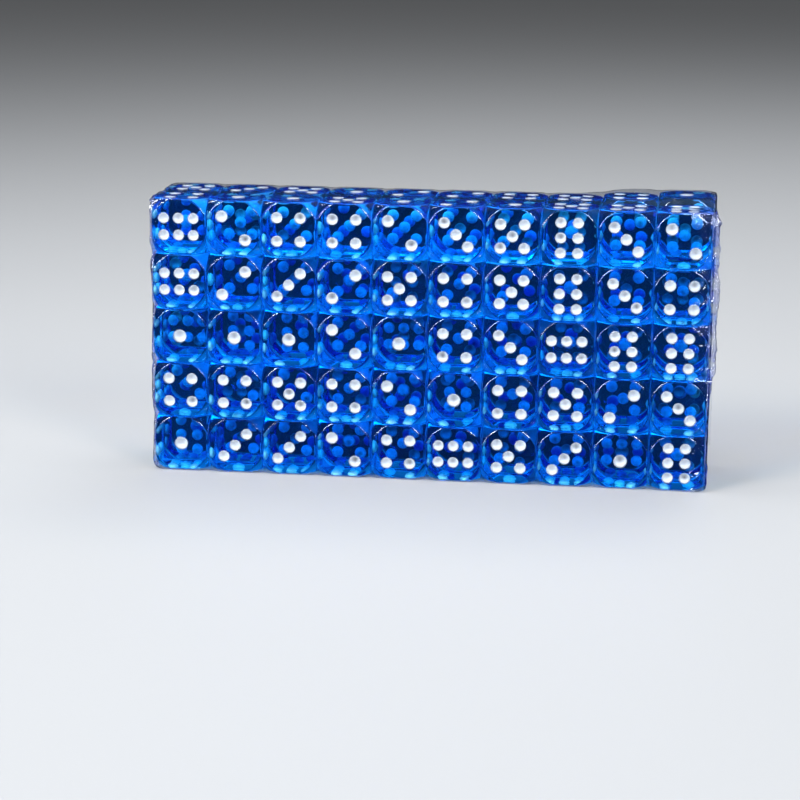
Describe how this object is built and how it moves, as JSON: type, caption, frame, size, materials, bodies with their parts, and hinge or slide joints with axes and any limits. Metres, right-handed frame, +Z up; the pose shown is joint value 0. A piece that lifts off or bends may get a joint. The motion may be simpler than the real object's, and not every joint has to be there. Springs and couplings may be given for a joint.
{
  "type": "casino dice pack",
  "caption": "Shrink-wrapped brick of translucent blue round-corner dice with white concave spots, stacked square in two layers and held by clear film.",
  "frame": {"origin": "centre of the underside of the wrapped brick, on the surface that it stands on", "axes": "+X along the brick's length, towards its tenth column; -Y is the broad front with five rows of dice; +Z up"},
  "size_m": [0.1636, 0.0324, 0.0808],
  "materials": {
    "blue_acrylic": "polished translucent blue acrylic",
    "white_paint": "satin white paint in the spots",
    "clear_film": "glossy clear shrink film"
  },
  "bodies": {
    "root": {"die_row1_col01": "blue_acrylic", "die_row1_col02": "blue_acrylic", "die_row1_col03": "blue_acrylic", "die_row1_col04": "blue_acrylic", "die_row1_col05": "blue_acrylic", "die_row1_col06": "blue_acrylic", "die_row1_col07": "blue_acrylic", "die_row1_col08": "blue_acrylic", "die_row1_col09": "blue_acrylic", "die_row1_col10": "blue_acrylic", "die_row2_col01": "blue_acrylic", "die_row2_col02": "blue_acrylic", "die_row2_col03": "blue_acrylic", "die_row2_col04": "blue_acrylic", "die_row2_col05": "blue_acrylic", "die_row2_col06": "blue_acrylic", "die_row2_col07": "blue_acrylic", "die_row2_col08": "blue_acrylic", "die_row2_col09": "blue_acrylic", "die_row2_col10": "blue_acrylic", "die_row3_col01": "blue_acrylic", "die_row3_col02": "blue_acrylic", "die_row3_col03": "blue_acrylic", "die_row3_col04": "blue_acrylic", "die_row3_col05": "blue_acrylic", "die_row3_col06": "blue_acrylic", "die_row3_col07": "blue_acrylic", "die_row3_col08": "blue_acrylic", "die_row3_col09": "blue_acrylic", "die_row3_col10": "blue_acrylic", "die_row4_col01": "blue_acrylic", "die_row4_col02": "blue_acrylic", "die_row4_col03": "blue_acrylic", "die_row4_col04": "blue_acrylic", "die_row4_col05": "blue_acrylic", "die_row4_col06": "blue_acrylic", "die_row4_col07": "blue_acrylic", "die_row4_col08": "blue_acrylic", "die_row4_col09": "blue_acrylic", "die_row4_col10": "blue_acrylic", "die_row5_col01": "blue_acrylic", "die_row5_col02": "blue_acrylic", "die_row5_col03": "blue_acrylic", "die_row5_col04": "blue_acrylic", "die_row5_col05": "blue_acrylic", "die_row5_col06": "blue_acrylic", "die_row5_col07": "blue_acrylic", "die_row5_col08": "blue_acrylic", "die_row5_col09": "blue_acrylic", "die_row5_col10": "blue_acrylic", "back_dice_row1": "blue_acrylic", "back_dice_row2": "blue_acrylic", "back_dice_row3": "blue_acrylic", "back_dice_row4": "blue_acrylic", "back_dice_row5": "blue_acrylic", "shrink_film": "clear_film"}
  },
  "joints": []
}
